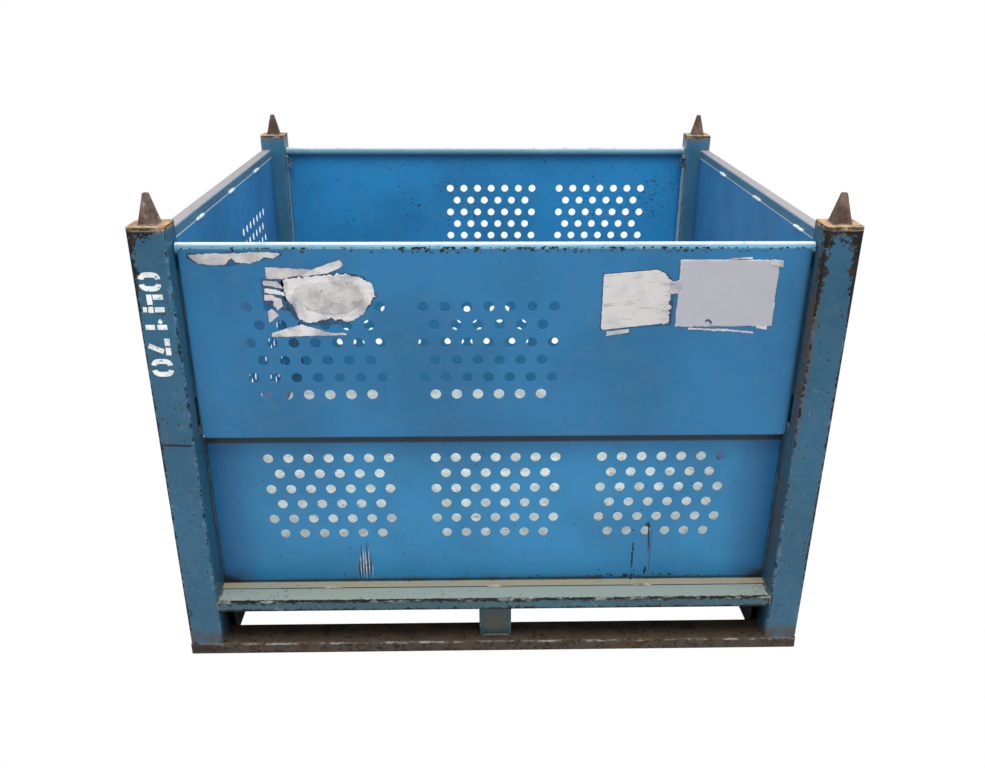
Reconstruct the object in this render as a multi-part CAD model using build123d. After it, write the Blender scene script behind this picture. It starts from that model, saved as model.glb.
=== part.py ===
"""Rigid steel bulk container that forklifts carry and stack.

Four square-tube corner posts stand on two skids and carry a deck frame. Perforated sheets close
the lower front and back and both sides. The upper front and the upper back are half-height gates:
each lifts on its pivot pins and then swings out and down until it hangs over the sheet below it.
Millimetres, origin at the bottom centre, +X to the right, -Y to the front, +Z up. The back half is
the front half turned half a turn about Z.
"""

import os
from math import sqrt
from build123d import *

# Overall sizes: across the posts, and from the ground to the plane that the next container sits on.
WIDTH = 1219.2
DEPTH = 1143.0
STACK_HEIGHT = 863.6

# Corner posts, cap plates and stacking spikes.
POST = 63.5
POST_WALL = 2.7
POST_CORNER = 6.0
CAP_THICKNESS = 6.35
SPIKE_BASE = 31.75
SPIKE_TIP = 9.5
SPIKE_HEIGHT = 50.8
SPIKE_EDGE = 2.5
SOCKET_CLEARANCE = 3.175

# Base: skids on the ground, runners above and beside the fork pockets, and the deck frame.
TUBE_WALL = 1.9
TUBE_CORNER = 3.5
SKID_HEIGHT = 25.4
DECK_UNDERSIDE = 101.6
DECK_TUBE_HEIGHT = 25.4
SIDE_RUNNER_LAP = 12.7
CENTRE_RUNNER_WIDTH = 63.5
CENTRE_RUNNER_SETBACK = 19.0
END_PLATE = 3.0
CROSS_MEMBER_WIDTH = 50.8
CROSS_MEMBER_COUNT = 3
FLOOR_THICKNESS = 1.9

# Sheet walls.
SHEET = 1.9
BEND = 2.4
FOOT_FLANGE = 21.0
LOWER_TOP_FLANGE = 12.7
SIDE_RAIL_WIDTH = 25.4
SIDE_RAIL_HEIGHT = 50.8
SIDE_RAIL_DROP = 38.1
SIDE_SHEET_LAP = 31.7

# Punched fields of holes, with their rows staggered by half a pitch.
HOLE = 19.05
PITCH = 38.1
ROWS = 6
LONG_ROW = 7
GATE_GROUP_SPACING = 304.8
WALL_GROUP_SPACING = 317.5
GATE_FIRST_HOLE = 107.0
GATE_PLAIN_END = 430.0
GATE_TOP_ROW = 111.5
LOWER_TOP_ROW = 48.4
SIDE_TOP_ROW = 110.0
SIDE_UPPER_FIRST_HOLE = 169.0
SIDE_PLAIN_END = 560.0
FIELD_MARGIN = 30.0

# Gates.
GATE_DROP = 34.1
GATE_HEIGHT = 363.1
GATE_SETBACK = 31.5
GATE_SIDE_GAP = 5.3
GATE_FLANGE = 25.0
GATE_TUBE = 19.05
GATE_TUBE_WALL = 1.65
GATE_TUBE_GAP = 2.5
BACK_GATE_SHIFT = 1.6
LOWER_SHEET_GAP = 9.2

# Pivot pins, the slots that they ride in, and the stops that the gates lean on.
PIN = 12.7
PIN_CLEARANCE = 0.05
PIN_HEAD = 17.0
PIN_HEAD_THICKNESS = 4.0
PIN_SIDE_PLAY = 0.3
PIN_REACH = 15.0
SLOT_CLEARANCE = 0.65
PIVOT_RISE = 15.0
PIVOT_DEPTH = 12.0
LIFT = 57.0
STOP_REACH = 16.0
STOP_HEIGHT = 25.0
STOP_GAP = 0.3
STOP_DROP = 26.0

# Places worked out from the sizes above.
HALF_W = WIDTH / 2
HALF_D = DEPTH / 2
IN_W = HALF_W - POST
IN_D = HALF_D - POST
POST_X = HALF_W - POST / 2
POST_Y = HALF_D - POST / 2
POST_TOP = STACK_HEIGHT - CAP_THICKNESS
SIDE_RUNNER_WIDTH = POST + SIDE_RUNNER_LAP
SOCKET = SPIKE_BASE + 2 * SOCKET_CLEARANCE
DECK_TOP = DECK_UNDERSIDE + DECK_TUBE_HEIGHT
ROW_PITCH = PITCH * sqrt(3) / 2
GROUP_WIDTH = (LONG_ROW - 1) * PITCH
GATE_HALF = IN_W - GATE_SIDE_GAP
GATE_FACE = HALF_D - GATE_SETBACK
GATE_TOP = STACK_HEIGHT - GATE_DROP
GATE_BOTTOM = GATE_TOP - GATE_HEIGHT
TUBE_Z = GATE_TOP - GATE_TUBE / 2
TUBE_Y = GATE_FACE - GATE_TUBE / 2
PIVOT_Z = GATE_BOTTOM + PIVOT_RISE
PIVOT_Y = GATE_FACE - PIVOT_DEPTH
LOWER_TOP = GATE_BOTTOM - LOWER_SHEET_GAP
SIDE_RAIL_TOP = STACK_HEIGHT - SIDE_RAIL_DROP
SIDE_SHEET_X = HALF_W - SIDE_RAIL_WIDTH
SIDE_SHEET_TOP = SIDE_RAIL_TOP - SIDE_RAIL_HEIGHT + SIDE_SHEET_LAP


def box_between(x0, x1, y0, y1, z0, z1):
    """Box between two opposite corners."""
    centre = Pos((x0 + x1) / 2, (y0 + y1) / 2, (z0 + z1) / 2)
    return centre * Box(abs(x1 - x0), abs(y1 - y0), abs(z1 - z0))


def tube_section(width, height, wall, corner):
    """Rectangular tube section with rounded corners."""
    outside = RectangleRounded(width, height, corner)
    inside = RectangleRounded(width - 2 * wall, height - 2 * wall, max(corner - wall, 0.5))
    return outside - inside


def folded(points, thickness):
    """Section of a sheet folded along a line of (across, up) points, the sheet's middle surface."""
    return trace(FilletPolyline(*points, radius=BEND + thickness / 2), line_width=thickness)


def tube_along_x(x0, x1, y, z, depth, height):
    """Rectangular tube from x0 to x1, centred on y and z."""
    section = Plane((x0, y, z), x_dir=(0, 1, 0), z_dir=(1, 0, 0))
    return extrude(section * tube_section(depth, height, TUBE_WALL, TUBE_CORNER), x1 - x0)


def tube_along_y(y0, y1, x, z, width, height):
    """Rectangular tube from y0 to y1, centred on x and z."""
    section = Plane((x, y0, z), x_dir=(-1, 0, 0), z_dir=(0, 1, 0))
    return extrude(section * tube_section(width, height, TUBE_WALL, TUBE_CORNER), y1 - y0)


def hole_group(across, top, room):
    """Centres of one staggered group: its first hole, its top row, and the height it may fill."""
    rows = min(ROWS, int(room / ROW_PITCH) + 1)
    centres = []
    for row in range(rows):
        short = row % 2
        for column in range(LONG_ROW - short):
            centres.append((across + (column + short / 2) * PITCH, top - row * ROW_PITCH))
    return centres


def centred_groups(half_width, top, bottom):
    """As many groups as a wall has room for, centred on it."""
    room = 2 * half_width - 2 * FIELD_MARGIN - GROUP_WIDTH
    count = max(int(room / WALL_GROUP_SPACING) + 1, 1)
    first = -(count - 1) * WALL_GROUP_SPACING / 2 - GROUP_WIDTH / 2
    centres = []
    for group in range(count):
        centres += hole_group(first + group * WALL_GROUP_SPACING, top, top - bottom - FIELD_MARGIN)
    return centres


def left_groups(half_width, first_hole, plain_end, top, bottom):
    """Groups from a wall's left end, leaving its right end plain for labels."""
    room = 2 * half_width - first_hole - plain_end - GROUP_WIDTH
    count = max(int(room / GATE_GROUP_SPACING) + 1, 1)
    centres = []
    for group in range(count):
        across = -half_width + first_hole + group * GATE_GROUP_SPACING
        centres += hole_group(across, top, top - bottom - FIELD_MARGIN)
    return centres


def punch(sheet, plane, centres):
    """Sheet with a round hole at each centre, cut along the plane's normal both ways."""
    circles = Sketch() + [Pos(across, up) * Circle(HOLE / 2) for across, up in centres]
    return sheet - extrude(plane * circles, 4 * SHEET, both=True)


def post():
    """Front left post, with the slot for a pivot pin in its inner wall."""
    height = POST_TOP - SKID_HEIGHT
    section = tube_section(POST, POST, POST_WALL, POST_CORNER)
    tube = Pos(-POST_X, -POST_Y, SKID_HEIGHT) * extrude(section, height)
    slot_plane = Plane((-IN_W, -PIVOT_Y, PIVOT_Z + LIFT / 2), x_dir=(0, 0, 1), z_dir=(1, 0, 0))
    width = PIN + 2 * SLOT_CLEARANCE
    slot = extrude(slot_plane * SlotOverall(LIFT + width, width), 3 * POST_WALL, both=True)
    return tube - slot


def post_cap():
    """Plate that closes the front left post."""
    plate = RectangleRounded(POST, POST, POST_CORNER)
    return Pos(-POST_X, -POST_Y, POST_TOP) * extrude(plate, CAP_THICKNESS)


def stacking_spike():
    """Blunt four-sided spike on the front left cap."""
    base = Pos(0, 0, 0) * RectangleRounded(SPIKE_BASE, SPIKE_BASE, SPIKE_EDGE)
    tip = Pos(0, 0, SPIKE_HEIGHT) * RectangleRounded(SPIKE_TIP, SPIKE_TIP, SPIKE_EDGE)
    spike = loft([base, tip])
    spike = fillet(spike.faces().sort_by(Axis.Z)[-1].edges(), SPIKE_EDGE)
    return Pos(-POST_X, -POST_Y, STACK_HEIGHT) * spike


def skid():
    """Front skid across both posts, closed at its ends, with a square hole under each post."""
    bar = tube_along_x(-HALF_W, HALF_W, -POST_Y, SKID_HEIGHT / 2, POST, SKID_HEIGHT)
    inside = RectangleRounded(POST - 2 * TUBE_WALL, SKID_HEIGHT - 2 * TUBE_WALL, TUBE_CORNER - TUBE_WALL)
    for x in (-HALF_W, HALF_W - END_PLATE):
        end = Plane((x, -POST_Y, SKID_HEIGHT / 2), x_dir=(0, 1, 0), z_dir=(1, 0, 0))
        bar += extrude(end * inside, END_PLATE)
    for side in (-1, 1):
        socket = RectangleRounded(SOCKET, SOCKET, SPIKE_EDGE)
        bar -= Pos(side * POST_X, -POST_Y, -1) * extrude(socket, SKID_HEIGHT + 2)
    return bar


def centre_runner():
    """Tube from front to back between the fork pockets, on top of both skids."""
    end = HALF_D - CENTRE_RUNNER_SETBACK
    height = DECK_UNDERSIDE - SKID_HEIGHT
    return tube_along_y(-end, end, 0, SKID_HEIGHT + height / 2, CENTRE_RUNNER_WIDTH, height)


def centre_runner_end_plates():
    """Plates that close the centre runner's ends, one solid each."""
    height = DECK_UNDERSIDE - SKID_HEIGHT
    width = CENTRE_RUNNER_WIDTH - 2 * TUBE_WALL
    inside = RectangleRounded(width, height - 2 * TUBE_WALL, TUBE_CORNER - TUBE_WALL)
    end = HALF_D - CENTRE_RUNNER_SETBACK
    plates = []
    for y in (-end, end - END_PLATE):
        section = Plane((0, y, SKID_HEIGHT + height / 2), x_dir=(-1, 0, 0), z_dir=(0, 1, 0))
        plates.append(extrude(section * inside, END_PLATE))
    return Compound(children=plates)


def side_runner():
    """Left runner between the posts, which closes the side of the fork pocket."""
    x = -HALF_W + SIDE_RUNNER_WIDTH / 2
    return tube_along_y(-IN_D, IN_D, x, DECK_UNDERSIDE / 2, SIDE_RUNNER_WIDTH, DECK_UNDERSIDE)


def deck_rail_front():
    """Deck frame tube between the front posts."""
    z = DECK_UNDERSIDE + DECK_TUBE_HEIGHT / 2
    return tube_along_x(-IN_W, IN_W, -POST_Y, z, POST, DECK_TUBE_HEIGHT)


def deck_rail_left():
    """Deck frame tube between the left posts."""
    z = DECK_UNDERSIDE + DECK_TUBE_HEIGHT / 2
    return tube_along_y(-IN_D, IN_D, -POST_X, z, POST, DECK_TUBE_HEIGHT)


def cross_member(y):
    """Channel under the floor, open downwards, from one side deck rail to the other."""
    inset = SHEET / 2
    left = -CROSS_MEMBER_WIDTH / 2 + inset
    right = CROSS_MEMBER_WIDTH / 2 - inset
    top = DECK_TUBE_HEIGHT - inset
    section = folded([(left, 0), (left, top), (right, top), (right, 0)], SHEET)
    plane = Plane((-IN_W, y, DECK_UNDERSIDE), x_dir=(0, 1, 0), z_dir=(1, 0, 0))
    return extrude(plane * section, 2 * IN_W)


def floor_plate():
    """Flat floor on the deck frame, between the four walls."""
    half = SIDE_SHEET_X - SHEET
    return box_between(-half, half, -IN_D, IN_D, DECK_TOP, DECK_TOP + FLOOR_THICKNESS)


def lower_sheet():
    """Fixed lower front sheet: foot turned out on to the deck rail, top edge turned in."""
    mid = -IN_D - SHEET / 2
    foot = DECK_TOP + SHEET / 2
    head = LOWER_TOP - SHEET / 2
    path = [(-IN_D - FOOT_FLANGE, foot), (mid, foot), (mid, head), (-IN_D - SHEET + LOWER_TOP_FLANGE, head)]
    plane = Plane((-IN_W, 0, 0), x_dir=(0, 1, 0), z_dir=(1, 0, 0))
    sheet = extrude(plane * folded(path, SHEET), 2 * IN_W)
    face = Plane((0, -IN_D, 0), x_dir=(1, 0, 0), z_dir=(0, -1, 0))
    return punch(sheet, face, centred_groups(IN_W, LOWER_TOP - LOWER_TOP_ROW, DECK_TOP))


def side_sheet():
    """Left wall: foot turned out on to the deck rail, top edge lapped inside the top rail."""
    mid = -SIDE_SHEET_X + SHEET / 2
    foot = DECK_TOP + SHEET / 2
    path = [(-SIDE_SHEET_X - FOOT_FLANGE, foot), (mid, foot), (mid, SIDE_SHEET_TOP)]
    plane = Plane((0, IN_D, 0), x_dir=(1, 0, 0), z_dir=(0, -1, 0))
    sheet = extrude(plane * folded(path, SHEET), 2 * IN_D)
    face = Plane((-SIDE_SHEET_X, 0, 0), x_dir=(0, -1, 0), z_dir=(-1, 0, 0))
    top = SIDE_SHEET_TOP - SIDE_TOP_ROW
    upper = left_groups(IN_D, SIDE_UPPER_FIRST_HOLE, SIDE_PLAIN_END, top, LOWER_TOP)
    lower = centred_groups(IN_D, LOWER_TOP - LOWER_TOP_ROW, DECK_TOP)
    return punch(sheet, face, upper + lower)


def side_top_rail():
    """Tube between the tops of the left posts, flush with their outer faces."""
    x = -HALF_W + SIDE_RAIL_WIDTH / 2
    z = SIDE_RAIL_TOP - SIDE_RAIL_HEIGHT / 2
    return tube_along_y(-IN_D, IN_D, x, z, SIDE_RAIL_WIDTH, SIDE_RAIL_HEIGHT)


def gate_tube():
    """Round tube along the top of the front gate."""
    half = IN_W - GATE_TUBE_GAP
    ring = Circle(GATE_TUBE / 2) - Circle(GATE_TUBE / 2 - GATE_TUBE_WALL)
    plane = Plane((-half, -TUBE_Y, TUBE_Z), x_dir=(0, 1, 0), z_dir=(1, 0, 0))
    return extrude(plane * ring, 2 * half)


def gate_sheet():
    """Front gate sheet: both ends and the bottom edge turned in, pin holes in the ends."""
    half = GATE_HALF - SHEET / 2
    face = -GATE_FACE + SHEET / 2
    edge = -GATE_FACE + GATE_FLANGE
    corner = BEND + 2 * SHEET
    plan = folded([(-half, edge), (-half, face), (half, face), (half, edge)], SHEET)
    walls = Pos(0, 0, GATE_BOTTOM + corner) * extrude(plan, TUBE_Z - GATE_BOTTOM - corner)
    foot = GATE_BOTTOM + SHEET / 2
    side = Plane((-half + corner, 0, 0), x_dir=(0, 1, 0), z_dir=(1, 0, 0))
    angle = folded([(face, GATE_BOTTOM + corner), (face, foot), (edge, foot)], SHEET)
    bottom = extrude(side * angle, 2 * (half - corner))
    sheet = walls + bottom
    tube_plane = Plane((-HALF_W, -TUBE_Y, TUBE_Z), x_dir=(0, 1, 0), z_dir=(1, 0, 0))
    sheet -= extrude(tube_plane * Circle(GATE_TUBE / 2), WIDTH)
    notch = -GATE_FACE + GATE_TUBE
    sheet -= box_between(-HALF_W, HALF_W, notch - GATE_TUBE / 2, edge + 1, TUBE_Z - GATE_TUBE / 2, GATE_TOP)
    pin_plane = Plane((-HALF_W, -PIVOT_Y, PIVOT_Z), x_dir=(0, 1, 0), z_dir=(1, 0, 0))
    sheet -= extrude(pin_plane * Circle(PIN / 2 + PIN_CLEARANCE), WIDTH)
    front = Plane((0, -GATE_FACE, 0), x_dir=(1, 0, 0), z_dir=(0, -1, 0))
    top_row = GATE_TOP - GATE_TOP_ROW
    centres = left_groups(GATE_HALF, GATE_FIRST_HOLE, GATE_PLAIN_END, top_row, GATE_BOTTOM)
    return punch(sheet, front, centres)


def pivot_pins():
    """The front gate's two headed pins, from inside its ends into the slots in the posts."""
    head_face = GATE_HALF - SHEET - PIN_SIDE_PLAY
    pins = []
    for side in (-1, 1):
        outward = Plane((side * head_face, -PIVOT_Y, PIVOT_Z), x_dir=(0, 1, 0), z_dir=(side, 0, 0))
        shank = extrude(outward * Circle(PIN / 2), IN_W - head_face + PIN_REACH - GATE_SIDE_GAP)
        head = extrude(outward * Circle(PIN_HEAD / 2), -PIN_HEAD_THICKNESS)
        pins.append(shank + head)
    return Compound(children=pins)


def gate_stops():
    """Lugs on the front posts that keep the closed gate from leaning in, one solid each."""
    face = -GATE_FACE + GATE_FLANGE + STOP_GAP
    top = GATE_TOP - STOP_DROP
    lugs = []
    for side in (-1, 1):
        inner = side * (IN_W - STOP_REACH)
        lugs.append(box_between(side * IN_W, inner, face, -IN_D, top - STOP_HEIGHT, top))
    return Compound(children=lugs)


def mirrored(shape, plane):
    """The same piece on the other side of the container."""
    return mirror(shape, about=plane)


def turned(shape, shift=0.0):
    """The same piece half a turn round the container, then shifted along X."""
    return Pos(shift, 0, 0) * Rot(0, 0, 180) * shape


def write(name, shape):
    """One STEP file per node."""
    export_step(shape, os.path.join("parts", name + ".step"))


def corner_pieces():
    """Posts, caps and spikes, each in the four corners."""
    pieces = {"post": post(), "post_cap": post_cap(), "stacking_spike": stacking_spike()}
    for name, piece in pieces.items():
        right = mirrored(piece, Plane.YZ)
        write(name + "_front_left", piece)
        write(name + "_front_right", right)
        write(name + "_back_left", mirrored(piece, Plane.XZ))
        write(name + "_back_right", mirrored(right, Plane.XZ))


def front_and_back_pieces():
    """Pieces of the front wall, and their half-turned copies in the back wall."""
    fixed = {"skid": skid(), "deck_rail": deck_rail_front(), "lower_sheet": lower_sheet(),
             "gate_stops": gate_stops()}
    for name, piece in fixed.items():
        write(name + "_front", piece)
        write(name + "_back", turned(piece))
    moving = {"gate_sheet": gate_sheet(), "gate_top_tube": gate_tube(), "pivot_pins": pivot_pins()}
    for name, piece in moving.items():
        write(name + "_front", piece)
        write(name + "_back", turned(piece, -BACK_GATE_SHIFT))


def left_and_right_pieces():
    """Pieces of the left wall, and their half-turned copies in the right wall."""
    pieces = {"side_runner": side_runner(), "deck_rail": deck_rail_left(), "side_sheet": side_sheet(),
              "side_top_rail": side_top_rail()}
    for name, piece in pieces.items():
        write(name + "_left", piece)
        write(name + "_right", turned(piece))


def middle_pieces():
    """Centre runner, floor and the cross members under it."""
    write("centre_runner", centre_runner())
    write("centre_runner_end_plates", centre_runner_end_plates())
    write("floor_plate", floor_plate())
    spacing = 2 * IN_D / (CROSS_MEMBER_COUNT + 1)
    for index in range(CROSS_MEMBER_COUNT):
        write("cross_member_" + str(index + 1), cross_member(-IN_D + (index + 1) * spacing))


os.makedirs("parts", exist_ok=True)
corner_pieces()
front_and_back_pieces()
left_and_right_pieces()
middle_pieces()
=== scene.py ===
"""Looks for a rigid steel bulk container: worn blue enamel, rust, welds, old paper labels."""

import bpy
import numpy as np
from math import radians
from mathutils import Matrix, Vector


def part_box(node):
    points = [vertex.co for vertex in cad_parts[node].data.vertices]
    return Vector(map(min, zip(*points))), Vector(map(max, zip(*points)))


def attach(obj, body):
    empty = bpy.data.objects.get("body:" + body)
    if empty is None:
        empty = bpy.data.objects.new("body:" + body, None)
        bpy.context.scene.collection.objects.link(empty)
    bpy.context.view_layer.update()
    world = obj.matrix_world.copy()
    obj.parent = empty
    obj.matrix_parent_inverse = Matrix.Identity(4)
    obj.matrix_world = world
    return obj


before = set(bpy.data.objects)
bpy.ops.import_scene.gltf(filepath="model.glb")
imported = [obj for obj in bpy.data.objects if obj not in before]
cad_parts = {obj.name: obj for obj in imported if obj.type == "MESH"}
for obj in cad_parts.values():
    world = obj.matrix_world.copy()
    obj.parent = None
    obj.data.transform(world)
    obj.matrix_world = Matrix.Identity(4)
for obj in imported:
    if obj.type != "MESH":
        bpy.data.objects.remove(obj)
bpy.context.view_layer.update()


# ---------------------------------------------------------------------------------------------
# Stage: a wide pale floor and a pale room, one soft lamp overhead and a weaker one at the left. To
# the camera the floor is plain white; it still shades and lights the container from below. The
# camera stands in front of the container and looks down into it.
FLOOR_HALF_M = 600.0
LENS_MM = 33.96
CAMERA_PLACE = (-0.04625, -2.08923, 1.21325)
CAMERA_TURN = (65.508, -0.242, -1.330)
CAMERA_RISE = 0.0334

floor_mesh = bpy.data.meshes.new("studio_floor")
floor_mesh.from_pydata([(-FLOOR_HALF_M, -FLOOR_HALF_M, 0), (FLOOR_HALF_M, -FLOOR_HALF_M, 0),
                        (FLOOR_HALF_M, FLOOR_HALF_M, 0), (-FLOOR_HALF_M, FLOOR_HALF_M, 0)],
                       [], [(0, 1, 2, 3)])
studio_floor = bpy.data.objects.new("studio_floor", floor_mesh)
bpy.context.scene.collection.objects.link(studio_floor)
floor_paint = bpy.data.materials.new("studio_floor_paint")
floor_paint.use_nodes = True
floor_tree = floor_paint.node_tree
floor_tree.nodes["Principled BSDF"].inputs["Base Color"].default_value = (0.88, 0.88, 0.88, 1)
floor_tree.nodes["Principled BSDF"].inputs["Roughness"].default_value = 0.9
plain_white = floor_tree.nodes.new("ShaderNodeEmission")
plain_white.inputs["Color"].default_value = (1.0, 1.0, 1.0, 1)
ray_kind = floor_tree.nodes.new("ShaderNodeLightPath")
floor_mix = floor_tree.nodes.new("ShaderNodeMixShader")
floor_tree.links.new(ray_kind.outputs["Is Camera Ray"], floor_mix.inputs[0])
floor_tree.links.new(floor_tree.nodes["Principled BSDF"].outputs[0], floor_mix.inputs[1])
floor_tree.links.new(plain_white.outputs[0], floor_mix.inputs[2])
floor_tree.links.new(floor_mix.outputs[0], floor_tree.nodes["Material Output"].inputs["Surface"])
floor_mesh.materials.append(floor_paint)

room = bpy.data.worlds.new("room")
room.use_nodes = True
room.node_tree.nodes["Background"].inputs["Color"].default_value = (1.0, 1.0, 1.0, 1)
room.node_tree.nodes["Background"].inputs["Strength"].default_value = 1.0
bpy.context.scene.world = room


def soft_lamp(name, place, aim, size, watts):
    """A square area lamp at a place, turned to face the aim point."""
    lamp = bpy.data.lights.new(name, "AREA")
    lamp.shape = "SQUARE"
    lamp.size = size
    lamp.energy = watts
    lamp_object = bpy.data.objects.new(name, lamp)
    lamp_object.location = place
    lamp_object.rotation_euler = (Vector(aim) - Vector(place)).to_track_quat("-Z", "Y").to_euler()
    bpy.context.scene.collection.objects.link(lamp_object)


soft_lamp("overhead_lamp", (0.2, -1.3, 3.8), (0, 0.4, 0.5), 2.0, 150)
soft_lamp("left_lamp", (-3.2, -1.6, 2.6), (0, 0, 0.4), 2.0, 8)

camera_data = bpy.data.cameras.new("camera")
camera_data.lens = LENS_MM
camera_data.sensor_width = 36.0
camera_data.shift_y = CAMERA_RISE
camera_data.clip_end = 2000.0
camera = bpy.data.objects.new("camera", camera_data)
camera.location = CAMERA_PLACE
camera.rotation_euler = [radians(angle) for angle in CAMERA_TURN]
bpy.context.scene.collection.objects.link(camera)
bpy.context.scene.camera = camera
bpy.context.scene.view_settings.view_transform = "Standard"


# ---------------------------------------------------------------------------------------------
# Corner posts: square steel tube, brushed or sprayed with blue enamel that has greyed. Knocks
# from other containers have chipped it to dark rust along the corners and round the top.
class Finish:
    """A material being built. Each method adds one shader node and gives back its result."""

    def __init__(self, name):
        self.material = bpy.data.materials.new(name)
        self.material.use_nodes = True
        self.tree = self.material.node_tree
        self.shader = self.tree.nodes["Principled BSDF"]
        self.place = self.tree.nodes.new("ShaderNodeTexCoord").outputs["Object"]
        self.facing = self.tree.nodes.new("ShaderNodeNewGeometry").outputs["Normal"]

    def feed(self, socket, value):
        """A socket takes another node's result, or a number or colour of its own."""
        if isinstance(value, bpy.types.NodeSocket):
            self.tree.links.new(value, socket)
        elif isinstance(value, tuple) and len(value) == 3 and socket.type == "RGBA":
            socket.default_value = (*value, 1.0)
        else:
            socket.default_value = value

    def sum(self, kind, *values):
        """One operation on numbers."""
        node = self.tree.nodes.new("ShaderNodeMath")
        node.operation = kind
        for socket, value in zip(node.inputs, values):
            self.feed(socket, value)
        return node.outputs[0]

    def vector(self, kind, *values):
        """One operation on vectors; LENGTH gives a number, the others a vector."""
        node = self.tree.nodes.new("ShaderNodeVectorMath")
        node.operation = kind
        for socket, value in zip(node.inputs, values):
            self.feed(socket, value)
        return node.outputs["Value"] if kind == "LENGTH" else node.outputs["Vector"]

    def parts(self, vector):
        """The x, y and z of a vector."""
        node = self.tree.nodes.new("ShaderNodeSeparateXYZ")
        self.feed(node.inputs[0], vector)
        return node.outputs

    def rise(self, value, low, high):
        """0 where the value is under low, 1 where it is over high, smooth between them."""
        node = self.tree.nodes.new("ShaderNodeMapRange")
        node.interpolation_type = "SMOOTHSTEP"
        for socket, item in zip(node.inputs, (value, low, high)):
            self.feed(socket, item)
        return node.outputs[0]

    def noise(self, scale, detail=4.0, roughness=0.5, stretch=(1, 1, 1), place=None):
        """Fractal noise, around 0.5, with a scale per metre along each axis."""
        node = self.tree.nodes.new("ShaderNodeTexNoise")
        node.inputs["Scale"].default_value = scale
        node.inputs["Detail"].default_value = detail
        node.inputs["Roughness"].default_value = roughness
        start = self.place if place is None else place
        self.feed(node.inputs["Vector"], self.vector("MULTIPLY", start, tuple(map(float, stretch))))
        return node.outputs[0]

    def mix(self, share, first, second):
        """From the first colour to the second."""
        node = self.tree.nodes.new("ShaderNodeMix")
        node.data_type = "RGBA"
        self.feed(node.inputs[0], share)
        self.feed(node.inputs[6], first)
        self.feed(node.inputs[7], second)
        return node.outputs[2]

    def blendn(self, share, first, second):
        """From the first number to the second."""
        node = self.tree.nodes.new("ShaderNodeMix")
        self.feed(node.inputs[0], share)
        self.feed(node.inputs[2], first)
        self.feed(node.inputs[3], second)
        return node.outputs[0]

    def edge(self, low, high, width):
        """1 on the edges of a box, falling to 0 a width away. The box is in the +X +Y quarter, and
        stands for its mirror images too: of the distances to its three pairs of faces, the middle
        one is how far a point on its skin is from the nearest edge."""
        centre = tuple((np.array(low) + np.array(high)) / 2)
        half = tuple((np.array(high) - np.array(low)) / 2)
        x, y, z = self.parts(self.place)
        mirrored = self.tree.nodes.new("ShaderNodeCombineXYZ")
        self.feed(mirrored.inputs[0], self.sum("ABSOLUTE", x))
        self.feed(mirrored.inputs[1], self.sum("ABSOLUTE", y))
        self.feed(mirrored.inputs[2], z)
        offset = self.vector("ABSOLUTE", self.vector("SUBTRACT", mirrored.outputs[0], centre))
        a, b, c = self.parts(self.vector("SUBTRACT", half, offset))
        nearer = self.sum("MINIMUM", a, b)
        further = self.sum("MAXIMUM", a, b)
        middle = self.sum("MAXIMUM", nearer, self.sum("MINIMUM", further, c))
        return self.sum("SUBTRACT", 1.0, self.rise(middle, 0.0, width))

    def spot(self, centre, radii):
        """1 at a centre, falling to 0 on an ellipsoid with these radii in metres."""
        offset = self.vector("DIVIDE", self.vector("SUBTRACT", self.place, centre), radii)
        return self.sum("SUBTRACT", 1.0, self.rise(self.vector("LENGTH", offset), 0.25, 1.0))

    def spots(self, places):
        """The sum of (centre, radii, amount) spots."""
        total = None
        for centre, radii, amount in places:
            one = self.sum("MULTIPLY", self.spot(centre, radii), amount)
            total = one if total is None else self.sum("ADD", total, one)
        return 0.0 if total is None else total


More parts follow.
